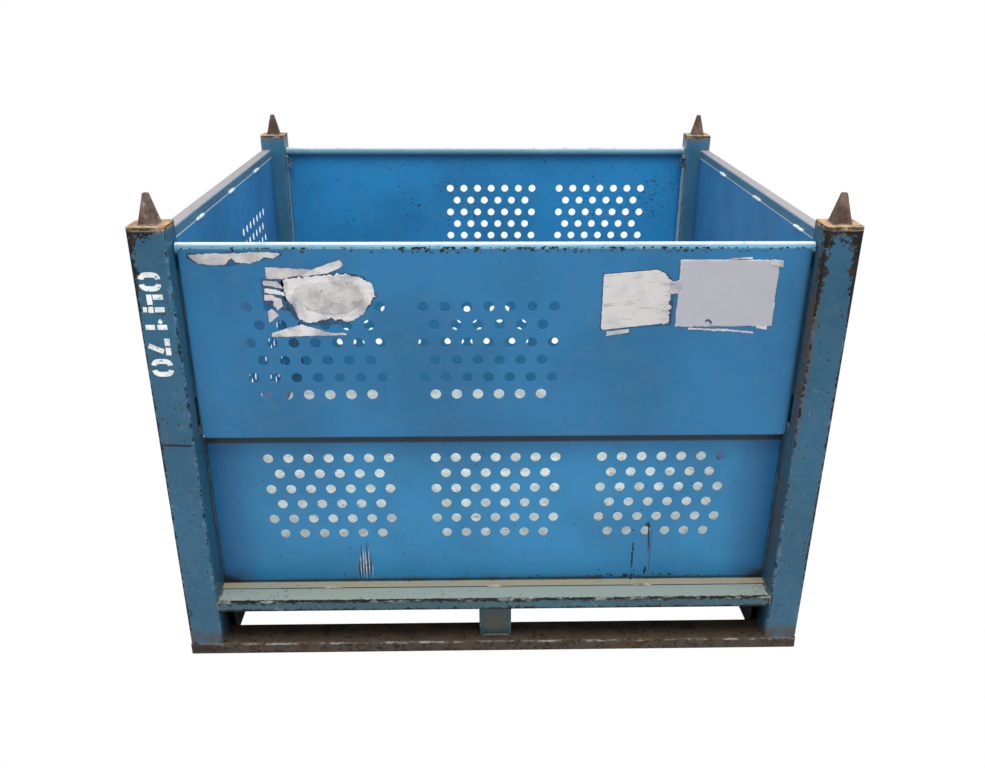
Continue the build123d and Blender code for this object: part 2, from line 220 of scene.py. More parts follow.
def enamel(name, paint, box, edge_width=0.007, chips=0.0, edge_chips=1.0, worn=(), grime=(), dust_and_sheen=0.0,
           dust_and_sheen_colour=(0.33, 0.27, 0.19), grime_colour=(0.060, 0.050, 0.036), streaks=0.25, rust=0.0,
           rubbed=0.0, gloss=0.38, shade=(), dim=(), bright=(), bare=1.0, gaps=1.0,
           specks=0.70, shine=0.22):
    """Blue enamel on steel. Chips show where fine noise passes a limit that falls towards the box's
    edges and inside the worn spots; rust runs, grime, scuffs and dust on upward faces lie over it. Where
    the dust colour is pale, as on the gate tubes and the side sheets' ledges, that upward layer is also a
    painted highlight. Shade spots darken it to near black: painted shade in gaps and under parts, and
    darker corners by the posts. Dim spots are a smooth, lighter painted shade, and bright spots are
    rubbed bare steel with a painted highlight along the edge. Bare is how far pale scuffs show, gaps how
    patchy the dust is, and specks the noise level over which small dark specks show."""
    f = Finish(name)
    cloud = f.noise(5.0, 3.0, 0.5)
    mottle = f.noise(38.0, 5.0, 0.6)
    colour = f.mix(f.rise(cloud, 0.32, 0.68), tuple(0.88 * c for c in paint), tuple(1.13 * c for c in paint))
    faded = tuple(0.80 * c + 0.030 for c in paint)
    colour = f.mix(f.sum("MULTIPLY", f.rise(mottle, 0.42, 0.75), 0.35), colour, faded)
    fine = f.noise(210.0, 3.0, 0.6)
    edge = f.edge(*box, edge_width)
    worn_share = f.spots(worn)

    scuff_a = f.noise(6.0, 3.0, 0.7, (1.0, 1.0, 42.0))
    scuff_b = f.noise(7.0, 3.0, 0.7, (36.0, 36.0, 1.2))
    scuffs = f.sum("MAXIMUM", f.rise(scuff_a, 0.665, 0.72), f.rise(scuff_b, 0.69, 0.74))
    colour = f.mix(f.sum("MULTIPLY", scuffs, 0.22 * bare), colour, (0.16, 0.32, 0.44))

    rub = f.sum("MULTIPLY", f.rise(f.sum("ADD", f.noise(55.0, 5.0, 0.7), f.sum("MULTIPLY", edge, 0.22)),
                                   0.60, 0.74),
                0.10 * bare + rubbed)
    colour = f.mix(rub, colour, (0.36, 0.48, 0.55))

    run = f.noise(9.0, 4.0, 0.6, (7.0, 7.0, 0.55))
    run_share = f.sum("MULTIPLY", f.rise(run, 0.60, 0.78), streaks)
    colour = f.mix(run_share, colour, (0.10, 0.085, 0.060))

    # Dim spots: a smooth, lighter painted shade, towards a deeper blue.
    film = f.sum("MINIMUM", f.spots(dim), 0.95)
    colour = f.mix(film, colour, (0.40 * paint[0], 0.50 * paint[1], 0.62 * paint[2]))
    grime_and_shade_noise = f.noise(26.0, 5.0, 0.65)
    grime_share = f.sum("MULTIPLY", f.spots(grime), f.rise(grime_and_shade_noise, 0.30, 0.62))
    grime_share = f.sum("MINIMUM", grime_share, 0.92)
    colour = f.mix(grime_share, colour, grime_colour)

    # Shade spots: painted shade in gaps and under parts, and darker corners, all near black.
    black = f.sum("MINIMUM", f.sum("MULTIPLY", f.spots(shade), f.rise(grime_and_shade_noise, 0.05, 0.30)), 0.94)
    colour = f.mix(black, colour, (0.007, 0.009, 0.011))

    # Upward faces: dust, which on the gate tubes and the side sheets' ledges is pale and also a painted
    # highlight.
    upward = f.rise(f.parts(f.facing)[2], 0.55, 0.95)
    dust_and_sheen_share = f.sum("MULTIPLY", f.sum("MULTIPLY", upward, dust_and_sheen),
                       f.rise(f.noise(18.0, 5.0, 0.65), 0.28 * gaps, 0.62 * gaps))
    colour = f.mix(dust_and_sheen_share, colour, dust_and_sheen_colour)

    chip = f.noise(120.0, 6.0, 0.74)
    cluster = f.sum("MULTIPLY", f.sum("SUBTRACT", f.noise(8.0, 3.0, 0.6), 0.5), 0.30)
    reach = f.sum("ADD", cluster, f.sum("MULTIPLY", edge, 0.125 * edge_chips))
    reach = f.sum("ADD", reach, f.sum("MULTIPLY", worn_share, 0.22))
    reach = f.sum("ADD", f.sum("ADD", reach, chips), chip)
    chipped = f.rise(reach, 0.700, 0.712)
    rim = f.rise(reach, 0.682, 0.700)
    rusted = f.mix(f.rise(f.noise(60.0, 4.0, 0.6), 0.45 - rust, 0.75 - rust), (0.005, 0.004, 0.004),
                   (0.021, 0.013, 0.009))
    colour = f.mix(f.sum("MULTIPLY", rim, 0.25), colour, (0.14, 0.21, 0.25))
    colour = f.mix(chipped, colour, rusted)
    speck = f.sum("ADD", f.noise(150.0, 2.0, 0.5), f.sum("MULTIPLY", cluster, 0.35))
    colour = f.mix(f.sum("MULTIPLY", f.rise(speck, specks, specks + 0.02), 0.9), colour,
                   (0.010, 0.011, 0.013))

    # Bright spots: rubbed bare steel with a painted highlight along the edge.
    scrape_and_highlight = f.rise(f.noise(44.0, 6.0, 0.78, (0.4, 1.0, 1.0)), 0.48, 0.60)
    colour = f.mix(f.sum("MULTIPLY", f.sum("MINIMUM", f.spots(bright), 0.9), scrape_and_highlight), colour,
                   (0.225, 0.235, 0.220))

    rough = f.sum("ADD", gloss, f.sum("MULTIPLY", f.sum("SUBTRACT", mottle, 0.5), 0.25))
    rough = f.blendn(f.sum("MAXIMUM", chipped, f.sum("MAXIMUM", dust_and_sheen_share, grime_share)), rough, 0.82)
    f.feed(f.shader.inputs["Base Color"], colour)
    f.feed(f.shader.inputs["Roughness"], rough)
    f.shader.inputs["Specular IOR Level"].default_value = shine

    height = f.sum("SUBTRACT", f.sum("MULTIPLY", fine, 0.12), chipped)
    height = f.sum("ADD", height, f.sum("MULTIPLY", f.noise(4.0, 2.0, 0.4), 3.0))
    bump = f.tree.nodes.new("ShaderNodeBump")
    bump.inputs["Strength"].default_value = 0.55
    bump.inputs["Distance"].default_value = 0.0006
    f.feed(bump.inputs["Height"], height)
    f.feed(f.shader.inputs["Normal"], bump.outputs[0])
    return f.material


def dress(material, *names):
    """The material covers each of these CAD nodes."""
    for name in names:
        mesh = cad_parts[name].data
        mesh.materials.clear()
        mesh.materials.append(material)


def quarter(node):
    """A node's box, moved by symmetry into the +X +Y quarter."""
    low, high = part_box(node)
    xs = sorted((abs(low.x), abs(high.x)))
    ys = sorted((abs(low.y), abs(high.y)))
    return (xs[0], ys[0], low.z), (xs[1], ys[1], high.z)


def both_sides(x, y, z, radii, amount):
    """The same spot at -x and at +x."""
    return [((-x, y, z), radii, amount), ((x, y, z), radii, amount)]


CORNERS = ("front_left", "front_right", "back_left", "back_right")
ENDS = ("front", "back")
SIDES = ("left", "right")
POST_BLUE = (0.013, 0.070, 0.124)
POST_INNER_X = 0.546

post_low, post_high = quarter("post_front_left")
post_x = (post_low[0] + post_high[0]) / 2
post_y = (post_low[1] + post_high[1]) / 2
post_enamel = enamel(
    "post_enamel", POST_BLUE, (post_low, post_high), 0.0085, 0.020, 1.35,
    worn=[((post_high[0], -post_high[1], 0.80), (0.028, 0.06, 0.16), 1.0),
          ((post_x, -post_high[1], 0.850), (0.050, 0.04, 0.040), 0.85),
          ((post_low[0], -post_high[1], 0.80), (0.024, 0.05, 0.12), 0.75),
          ((post_high[0], -post_high[1], 0.45), (0.012, 0.05, 0.42), 0.65),
          ((-post_high[0], -post_high[1], 0.80), (0.022, 0.05, 0.14), 0.75),
          ((-post_high[0], -post_high[1], 0.45), (0.010, 0.05, 0.42), 0.50),
          ((-post_x, -post_high[1], 0.846), (0.040, 0.04, 0.018), 0.75),
          ((-post_low[0] - 0.012, -post_high[1], 0.70), (0.012, 0.04, 0.18), 0.30),
          ((-post_high[0], -post_high[1], 0.10), (0.02, 0.05, 0.10), 0.6)],
    # The first two grime spots darken the posts' inner faces beside the gate and the lower sheet: painted
    # shade.
    grime=[((-post_low[0], -post_low[1], 0.45), (0.010, 0.02, 0.60), 0.45),
           ((post_low[0], -post_y, 0.28), (0.008, 0.06, 0.26), 0.60),
           ((post_low[0], -post_high[1] + 0.01, 0.66), (0.012, 0.03, 0.30), 1.0),
           *both_sides(post_x, -post_high[1], 0.025, (0.10, 0.05, 0.045), 1.0),
           ((-post_x, -post_y, 0.856), (0.06, 0.06, 0.02), 0.7),
           ((post_x, -post_y, 0.856), (0.06, 0.06, 0.02), 0.8)],
    # Painted shade: near-black strips on the posts' inner faces, low down by the deck rail and in the gap
    # beside the lower sheet.
    shade=[*both_sides(POST_INNER_X, -0.520, 0.070, (0.006, 0.05, 0.06), 0.9),
           *both_sides(POST_INNER_X, -0.512, 0.29, (0.0040, 0.012, 0.30), 0.8)],
    grime_colour=(0.060, 0.042, 0.027), streaks=0.45, specks=0.690)
back_post_enamel = enamel(
    "back_post_enamel", (0.026, 0.100, 0.172), (post_low, post_high), 0.006, 0.010, 1.0,
    grime=[*both_sides(post_x, post_y, 0.03, (0.05, 0.05, 0.03), 0.9),
           ((-post_x, post_y, 0.856), (0.06, 0.06, 0.02), 0.7),
           ((post_x, post_y, 0.856), (0.06, 0.06, 0.02), 0.8)],
    grime_colour=(0.115, 0.085, 0.050), streaks=0.25)
dress(post_enamel, "post_front_left", "post_front_right")
dress(back_post_enamel, "post_back_left", "post_back_right")


# ---------------------------------------------------------------------------------------------
# Caps and stacking spikes: a square plate welded on each post, and a cast spike welded on that.
# Their paint has gone, and the steel has a tan to brown rust with a little yellow and blue left.
def rusty(name, dark, light, left_over, left_share, scale=1.0, side_share=0.0):
    """Rusted bare steel: two browns by noise, with flecks of an older colour and a rough skin. Side
    share is how far its upright faces have gone black."""
    f = Finish(name)
    body = f.noise(24.0 * scale, 6.0, 0.65)
    colour = f.mix(f.rise(body, 0.34, 0.66), dark, light)
    speck = f.noise(170.0 * scale, 4.0, 0.7)
    colour = f.mix(f.rise(speck, 0.60, 0.72), colour, tuple(0.35 * c for c in dark))
    fleck = f.noise(48.0 * scale, 5.0, 0.7)
    colour = f.mix(f.sum("MULTIPLY", f.rise(fleck, 0.66 - left_share, 0.70 - left_share), 0.85), colour,
                   left_over)
    if side_share:
        upright = f.sum("SUBTRACT", 1.0, f.rise(f.parts(f.facing)[2], 0.35, 0.90))
        patch = f.rise(f.noise(60.0, 5.0, 0.7), 0.34, 0.56)
        colour = f.mix(f.sum("MULTIPLY", f.sum("MULTIPLY", upright, patch), side_share), colour,
                       (0.016, 0.012, 0.009))
    f.feed(f.shader.inputs["Base Color"], colour)
    f.shader.inputs["Specular IOR Level"].default_value = 0.25
    f.feed(f.shader.inputs["Roughness"], f.blendn(body, 0.62, 0.92))
    bump = f.tree.nodes.new("ShaderNodeBump")
    bump.inputs["Strength"].default_value = 0.6
    bump.inputs["Distance"].default_value = 0.0007
    f.feed(bump.inputs["Height"], f.sum("ADD", speck, body))
    f.feed(f.shader.inputs["Normal"], bump.outputs[0])
    return f.material


cap_rust = rusty("cap_rust", (0.120, 0.066, 0.034), (0.420, 0.275, 0.155), (0.60, 0.38, 0.04), 0.01, 1.0, 0.9)
spike_rust = rusty("spike_rust", (0.042, 0.024, 0.017), (0.135, 0.086, 0.064), (0.10, 0.07, 0.05), 0.0, 1.3)
flecked_rust = rusty("flecked_rust", (0.046, 0.028, 0.020), (0.150, 0.104, 0.080), (0.26, 0.33, 0.35), 0.055,
                     1.3)
dress(cap_rust, *("post_cap_" + corner for corner in CORNERS))
dress(spike_rust, *("stacking_spike_" + corner for corner in CORNERS[1:]))
dress(flecked_rust, "stacking_spike_front_left")


# ---------------------------------------------------------------------------------------------
# Skids: flat tubes that the container slides and stands on, so most of their enamel is gone and
# the steel is dark brown, with a rubbed line along the top front edge that also carries a painted
# highlight. The back of their top, under the deck, carries painted shade.
skid_low, skid_high = quarter("skid_front")
skid_enamel = enamel(
    "skid_enamel", (0.040, 0.023, 0.011), (skid_low, skid_high), 0.006, 0.05, 0.8,
    grime=[((0, -post_y, 0.012), (0.75, 0.045, 0.02), 0.35)],
    # Painted shade: the back of the skid's top, under the deck, darkened to near black.
    shade=[((0, -0.512, 0.026), (3.0, 0.060, 0.012), 0.8),
           ((-0.60, -post_high[1], 0.012), (0.10, 0.03, 0.012), 0.6)],
    # Rubbed bare steel with a painted highlight along the top front edge.
    bright=[((0, -post_high[1], 0.0230), (2.2, 0.006, 0.0030), 1.0)],
    grime_colour=(0.050, 0.031, 0.016),
    dust_and_sheen=0.6, dust_and_sheen_colour=(0.074, 0.046, 0.026), streaks=0.2, rust=0.30, rubbed=0.04, gloss=0.72, bare=0.0,
    shine=0.05)
dress(skid_enamel, *("skid_" + end for end in ENDS))


# ---------------------------------------------------------------------------------------------
# Runners and cross members under the floor: enamel over mill scale, browned where forks and
# road dirt reach them.
runner_low, runner_high = quarter("centre_runner")
runner_enamel = enamel(
    "centre_runner_enamel", (0.022, 0.043, 0.046),
    ((-runner_high[0], -runner_high[1], runner_low[2]), runner_high),
    0.005, 0.03, 1.7,
    grime=[((0, -runner_high[1], 0.060), (0.026, 0.02, 0.036), 0.95),
           ((0, runner_high[1], 0.060), (0.026, 0.02, 0.036), 0.95)],
    grime_colour=(0.058, 0.052, 0.040), streaks=0.3)
dress(runner_enamel, "centre_runner", "centre_runner_end_plates")
side_runner_enamel = enamel(
    "side_runner_enamel", (0.040, 0.085, 0.120), quarter("side_runner_left"), 0.008, 0.035, 1.0,
    # Painted shade: the runners' inner faces, under the deck, darkened to near black.
    shade=both_sides(0.533, 0, 0.05, (0.04, 2.4, 0.30), 1.3),
    grime_colour=(0.038, 0.028, 0.020), streaks=0.5, rust=0.05)
dress(side_runner_enamel, *("side_runner_" + side for side in SIDES))
under_enamel = enamel("cross_member_enamel", (0.045, 0.110, 0.165), quarter("cross_member_1"), 0.005, 0.02,
                      0.8)
dress(under_enamel, *("cross_member_" + number for number in "123"))


# ---------------------------------------------------------------------------------------------
# Deck rails: flat tubes round the floor. Dust and swarf lie on their tops, the front edge is
# rubbed to a pale line with a painted highlight along it, and the front face is chipped.
rail_low, rail_high = quarter("deck_rail_front")
front_rail_enamel = enamel(
    "front_rail_enamel", (0.022, 0.066, 0.088), ((-rail_high[0], rail_low[1], rail_low[2]), rail_high),
    0.0060, 0.050, 1.9,
    grime=both_sides(POST_INNER_X, -post_y, 0.127, (0.05, 0.04, 0.03), 0.9),
    worn=[((0, -post_high[1], 0.1240), (1.8, 0.008, 0.0090), 0.66),
          ((0, -post_high[1], 0.105), (1.8, 0.008, 0.0080), 0.68)],
    shade=both_sides(POST_INNER_X, -0.54, 0.127, (0.009, 0.05, 0.02), 0.8),
    # Rubbed bare steel with a painted highlight along the top front edge.
    bright=[((0, -post_high[1], 0.1250), (2.2, 0.006, 0.0042), 1.2)],
    dust_and_sheen=0.92, dust_and_sheen_colour=(0.205, 0.245, 0.215), streaks=0.35, rust=0.05, rubbed=0.10, gaps=0.55)
dress(front_rail_enamel, *("deck_rail_" + end for end in ENDS))
side_rail_enamel = enamel(
    "side_rail_enamel", (0.060, 0.165, 0.270), quarter("deck_rail_left"), 0.006, 0.015, 1.2,
    dust_and_sheen=0.8, streaks=0.3, rubbed=0.3)
dress(side_rail_enamel, *("deck_rail_" + side for side in SIDES))


# ---------------------------------------------------------------------------------------------
# Fixed sheets: the lower front and back, and the two full-height sides. The punched sheets keep
# the brightest enamel; dirt has gathered along their feet and in the corners by the posts. Painted
# shade darkens the sheets beside the posts, under the front gate and along the lower sheets' foot.
SHEET_BLUE = (0.016, 0.142, 0.290)

lower_low, lower_high = quarter("lower_sheet_front")
lower_face = -0.5099
lower_enamel = enamel(
    "lower_sheet_enamel", SHEET_BLUE,
    ((-lower_high[0], 0.507, lower_low[2]), (lower_high[0], 0.511, lower_high[2])),
    0.006, -0.035, 0.6,
    worn=[((-0.303, -0.51, 0.172), (0.006, 0.02, 0.024), 1.1),
          ((-0.288, -0.51, 0.190), (0.004, 0.02, 0.040), 1.1),
          ((0.276, -0.51, 0.19), (0.0040, 0.02, 0.075), 1.3),
          ((0.271, -0.51, 0.245), (0.008, 0.02, 0.010), 1.1),
          ((0.10, -0.51, 0.138), (0.30, 0.02, 0.014), 0.62),
          ((-0.28, -0.51, 0.140), (0.20, 0.02, 0.014), 0.62),
          ((0.35, -0.51, 0.138), (0.20, 0.02, 0.016), 0.70)],
    # Painted shade: the lower sheet darkened beside the posts and below the gate.
    dim=[*both_sides(0.548, lower_face, 0.29, (0.110, 0.03, 0.90), 0.75),
         ((0, lower_face, 0.460), (2.6, 0.03, 0.055), 0.42)],
    grime=[*both_sides(0.54, lower_face, 0.135, (0.075, 0.04, 0.035), 0.9),
           ((0, lower_face, 0.128), (0.8, 0.03, 0.018), 0.85)],
    grime_colour=(0.034, 0.048, 0.050), dust_and_sheen=0.95, dust_and_sheen_colour=(0.250, 0.220, 0.140), streaks=0.18, bare=0.5,
    gaps=0.6, specks=0.725,
    shade=[*both_sides(0.540, lower_face, 0.128, (0.040, 0.03, 0.030), 0.9),
           # Painted shadow: a dark band just below the gate's bottom edge.
           ((0, lower_face, 0.4510), (2.4, 0.03, 0.0125), 1.6),
           # Painted shade along the foot, where the sheet meets the rail.
           ((0, lower_face, 0.1330), (1.6, 0.03, 0.0050), 0.7),
           # Painted shade in the narrow gap beside each post.
           *both_sides(0.5455, lower_face, 0.29, (0.004, 0.03, 0.60), 0.9)])
dress(lower_enamel, *("lower_sheet_" + end for end in ENDS))

side_low, side_high = quarter("side_sheet_left")
side_enamel = enamel(
    "side_sheet_enamel", (0.026, 0.155, 0.350),
    ((0.581, -side_high[1], side_low[2]), (0.586, side_high[1], side_high[2])),
    0.006, -0.030, 0.9,
    grime=both_sides(0.59, 0, 0.128, (0.03, 0.8, 0.022), 0.8),
    # The pale upward layer lies on the sheets' top ledge: dust, and a painted highlight there.
    dust_and_sheen=0.95, dust_and_sheen_colour=(0.30, 0.36, 0.40), streaks=0.35, gaps=0.5,
    # Painted shade: the sheets darkened towards their front and back corners.
    dim=[*both_sides(0.584, -0.508, 0.45, (0.02, 0.06, 0.9), 0.6),
         *both_sides(0.584, 0.508, 0.45, (0.02, 0.06, 0.9), 0.6)])
dress(side_enamel, *("side_sheet_" + side for side in SIDES))

top_rail_enamel = enamel(
    "side_top_rail_enamel", (0.045, 0.130, 0.210), quarter("side_top_rail_left"), 0.003, -0.055, 1.0,
    dust_and_sheen=0.95, dust_and_sheen_colour=(0.240, 0.228, 0.236), streaks=0.3, bare=0.3, gaps=0.35)
dress(top_rail_enamel, *("side_top_rail_" + side for side in SIDES))


# ---------------------------------------------------------------------------------------------
# Gates: a punched tray of sheet with a round tube welded along its top. The tube is rubbed pale
# by hands, straps and loads, and its top is paler still with dust and a painted highlight; the sheet
# has a line of chips under it.
gate_low, gate_high = quarter("gate_sheet_front")
tube_low, tube_high = quarter("gate_top_tube_front")
gate_box = ((-gate_high[0], 0.538, gate_low[2]), (gate_high[0], 0.5405, tube_high[2]))
under_tube = [((0, -0.54, 0.8165), (1.60, 0.02, 0.0085), 0.85), ((0, 0.54, 0.8145), (0.60, 0.03, 0.03), 0.33)]
front_gate_enamel = enamel("front_gate_enamel", (0.011, 0.102, 0.222), gate_box, 0.005, -0.045, 0.55,
                           worn=under_tube, streaks=0.06, bare=0.35, specks=0.725,
                           # Painted shade along the gate's right edge.
                           shade=[((0.542, -0.5400, 0.64), (0.014, 0.03, 0.50), 0.55)])
back_gate_enamel = enamel("back_gate_enamel", (0.014, 0.155, 0.350), gate_box, 0.005, -0.045, 0.55,
                          worn=[*under_tube, ((0.47, 0.54, 0.70), (0.10, 0.03, 0.16), 0.72),
                                ((-0.12, 0.54, 0.68), (0.30, 0.03, 0.14), 0.60)], specks=0.695, streaks=0.12,
                                bare=0.4)
dress(front_gate_enamel, "gate_sheet_front")
dress(back_gate_enamel, "gate_sheet_back")
tube_enamel = enamel(
    "gate_tube_enamel", (0.090, 0.210, 0.290), ((-tube_high[0], tube_low[1], tube_low[2]), tube_high),
    0.003, -0.02, 0.2, worn=[((0, -0.5405, 0.8212), (1.8, 0.008, 0.0045), 0.95),
                             ((0, -0.5235, 0.8268), (1.8, 0.005, 0.0045), 0.95)],
    # The pale upward layer is dust and a painted highlight along the tube's top.
    dust_and_sheen=0.9, dust_and_sheen_colour=(0.500, 0.530, 0.540), streaks=0.1, rubbed=0.30, gloss=0.34, gaps=0.8)
dress(tube_enamel, *("gate_top_tube_" + end for end in ENDS))
dress(post_enamel, *("gate_stops_" + end for end in ENDS))

pin_steel = rusty("pin_steel", (0.09, 0.075, 0.06), (0.26, 0.24, 0.22), (0.10, 0.20, 0.28), 0.02, 2.0)
pin_steel.node_tree.nodes["Principled BSDF"].inputs["Metallic"].default_value = 0.6
dress(pin_steel, *("pivot_pins_" + end for end in ENDS))


# ---------------------------------------------------------------------------------------------
# Floor: one flat steel plate that lies on the cross members, inside the sheets. Loads have scoured
# it to grey, with rust specks and grey dust.
floor_steel = rusty("floor_steel", (0.355, 0.400, 0.375), (0.550, 0.600, 0.575), (0.34, 0.25, 0.18), 0.09)
dress(floor_steel, "floor_plate")


# ---------------------------------------------------------------------------------------------
# Welds: lumpy beads laid by hand where the frame's tubes, plates and sheets meet, and a butt weld
# where the front left post was joined from two lengths. They have rusted through a thin coat of blue.
def made(name, points, faces, material, body):
    """An object from arrays of points and faces, in its place, riding on a body."""
    mesh = bpy.data.meshes.new(name)
    mesh.from_pydata(points.tolist(), [], faces.tolist())
    mesh.materials.append(material)
    mesh.update()
    piece = bpy.data.objects.new(name, mesh)
    bpy.context.scene.collection.objects.link(piece)
    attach(piece, body)
    return piece


def grid_faces(rows, columns, wrap):
    """Quads between neighbouring points of a grid, joined across the last column if it wraps."""
    row, column = np.meshgrid(np.arange(rows - 1), np.arange(columns - (0 if wrap else 1)), indexing="ij")
    after = (column + 1) % columns
    corners = [row * columns + column, row * columns + after, (row + 1) * columns + after,
               (row + 1) * columns + column]
    return np.stack(corners, axis=-1).reshape(-1, 4)


BEAD_SIDES = 8


def weld_beads(name, runs, metal=None):
    """One bead for each (start, end, radius): rings round the line from start to end, with a radius
    that swells once for every drop of metal, wanders by seeded noise and closes to a point at both
    ends."""
    random = np.random.default_rng(len(name))
    points, faces, count = [], [], 0
    around = np.linspace(0, 2 * np.pi, BEAD_SIDES + 1)[:-1]
    for start, end, radius in runs:
        start, end = np.array(start, float), np.array(end, float)
        length = np.linalg.norm(end - start)
        along = (end - start) / length
        side = np.cross(along, (0, 0, 1)) if abs(along[2]) < 0.9 else np.array((1.0, 0, 0))
        side = side / np.linalg.norm(side)
        other = np.cross(along, side)
        rings = max(int(length / radius * 1.6), 12)
        t = np.linspace(0, 1, rings)
        drops = t * length / (1.6 * radius)
        phase = random.uniform(0, 6)
        size = 1 + 0.16 * np.sin(2 * np.pi * drops + phase) + random.uniform(-0.14, 0.14, rings)
        size = radius * size * np.sqrt(np.clip(1 - np.abs(2 * t - 1) ** 6, 0.0004, 1))
        wander = random.uniform(-0.18, 0.18, (rings, 2)) * radius
        ring = side * np.cos(around)[:, None] + other * np.sin(around)[:, None]
        middle = start + t[:, None] * (end - start) + wander[:, :1] * side + wander[:, 1:] * other
        skin = middle[:, None] + size[:, None, None] * ring
        points.append(skin.reshape(-1, 3))
        faces.append(grid_faces(rings, BEAD_SIDES, True) + count)
        count += rings * BEAD_SIDES
    bead = made(name, np.concatenate(points), np.concatenate(faces), metal or weld_metal, "frame")
    bead.data.polygons.foreach_set("use_smooth", np.ones(len(bead.data.polygons), bool))
    return bead


weld_metal = rusty("weld_metal", (0.075, 0.060, 0.048), (0.150, 0.130, 0.105), (0.060, 0.170, 0.250), 0.08,
                   2.0)
rubbed_weld = rusty("rubbed_weld", (0.300, 0.370, 0.400), (0.620, 0.680, 0.700), (0.100, 0.200, 0.280),
                    -0.04, 2.0)
dusty_weld = rusty("dusty_weld", (0.120, 0.115, 0.090), (0.330, 0.330, 0.270), (0.080, 0.050, 0.030), 0.02,
                   2.0)
dark_weld = rusty("dark_weld", (0.006, 0.005, 0.005), (0.024, 0.016, 0.011), (0.090, 0.045, 0.020), -0.02,
                  2.0)
seam_weld = rusty("seam_weld", (0.014, 0.030, 0.042), (0.040, 0.085, 0.110), (0.100, 0.070, 0.040), 0.02, 2.0)
post_bottom = post_low[2]
cap_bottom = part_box("post_cap_front_left")[0].z
cap_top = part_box("post_cap_front_left")[1].z
spike_low, spike_high = quarter("stacking_spike_front_left")
BEAD_PROUD = 0.0006
CORNER_CLEAR = 0.006

cap_runs, foot_runs, spike_runs = [], [], []
for sx in (-1, 1):
    for sy in (-1, 1):
        x0, x1 = sx * (post_low[0] + CORNER_CLEAR), sx * (post_high[0] - CORNER_CLEAR)
        y0, y1 = sy * (post_low[1] + CORNER_CLEAR), sy * (post_high[1] - CORNER_CLEAR)
        for z, runs, radius in ((cap_bottom, cap_runs, 0.0012), (post_bottom, foot_runs, 0.0017)):
            back = radius - BEAD_PROUD
            runs += [((x0, sy * (post_high[1] - back), z), (x1, sy * (post_high[1] - back), z), radius),
                     ((x0, sy * (post_low[1] + back), z), (x1, sy * (post_low[1] + back), z), radius),
                     ((sx * (post_high[0] - back), y0, z), (sx * (post_high[0] - back), y1, z), radius),
                     ((sx * (post_low[0] + back), y0, z), (sx * (post_low[0] + back), y1, z), radius)]
        a0, a1 = sx * spike_low[0], sx * spike_high[0]
        b0, b1 = sy * spike_low[1], sy * spike_high[1]
        spike_runs += [((a0, b0, cap_top), (a1, b0, cap_top), 0.0018),
                       ((a0, b1, cap_top), (a1, b1, cap_top), 0.0018),
                       ((a0, b0, cap_top), (a0, b1, cap_top), 0.0018),
                       ((a1, b0, cap_top), (a1, b1, cap_top), 0.0018)]
weld_beads("cap_welds", cap_runs)
weld_beads("post_foot_welds", foot_runs)
weld_beads("spike_welds", spike_runs)

SEAM_X, SEAM_Y = 0.5478, 0.5098
seam_runs = []
for sx in (-1, 1):
    for sy in (-1, 1):
        seam_runs.append(((sx * SEAM_X, sy * SEAM_Y, rail_high[2] + 0.001),
                          (sx * SEAM_X, sy * SEAM_Y, lower_high[2] - 0.001), 0.0034))
weld_beads("lower_sheet_end_seams", seam_runs, seam_weld)

SPLICE_Z = 0.4695
weld_beads("post_splice_weld", [((-post_high[0] + 0.003, -post_high[1] + 0.0012, SPLICE_Z),
                                 (-post_low[0] - 0.003, -post_high[1] + 0.0012, SPLICE_Z - 0.002),
                                 0.0025)], dark_weld)
foot_y, foot_z = lower_high[1], rail_high[2]
weld_beads("lower_sheet_foot_seams", [((-0.54, sy * foot_y, foot_z), (0.54, sy * foot_y, foot_z), 0.0008)
                                      for sy in (-1, 1)], dark_weld)

STUB_HALF = 0.028
FOOT_STITCH_X = (-0.325, 0.003, 0.297)
FOOT_STITCH_HALF = 0.019
rail_runs, stub_runs, foot_stitches = [], [], []
for sy in (-1, 1):
    front = sy * (rail_high[1] - 0.0012)
    for sx in (-1, 1):
        joint = sx * post_low[0]
        rail_runs += [((joint, front, rail_low[2] + 0.003), (joint, front, rail_high[2] - 0.002), 0.0020),
                      ((joint, sy * (rail_low[1] + 0.004), rail_high[2]), (joint, front, rail_high[2]),
                       0.0022)]
    end = sy * runner_high[1]
    for z in (runner_high[2] - 0.001, runner_low[2] + 0.001):
        stub_runs.append(((-STUB_HALF, end, z), (STUB_HALF, end, z), 0.0022))
    for x in FOOT_STITCH_X:
        foot_stitches.append(((-sy * (x - FOOT_STITCH_HALF), sy * lower_high[1], rail_high[2] + 0.001),
                              (-sy * (x + FOOT_STITCH_HALF), sy * lower_high[1], rail_high[2] + 0.001),
                              0.0030))
weld_beads("deck_rail_welds", rail_runs)
weld_beads("centre_runner_welds", stub_runs)
weld_beads("lower_sheet_stitch_welds", foot_stitches, dusty_weld)

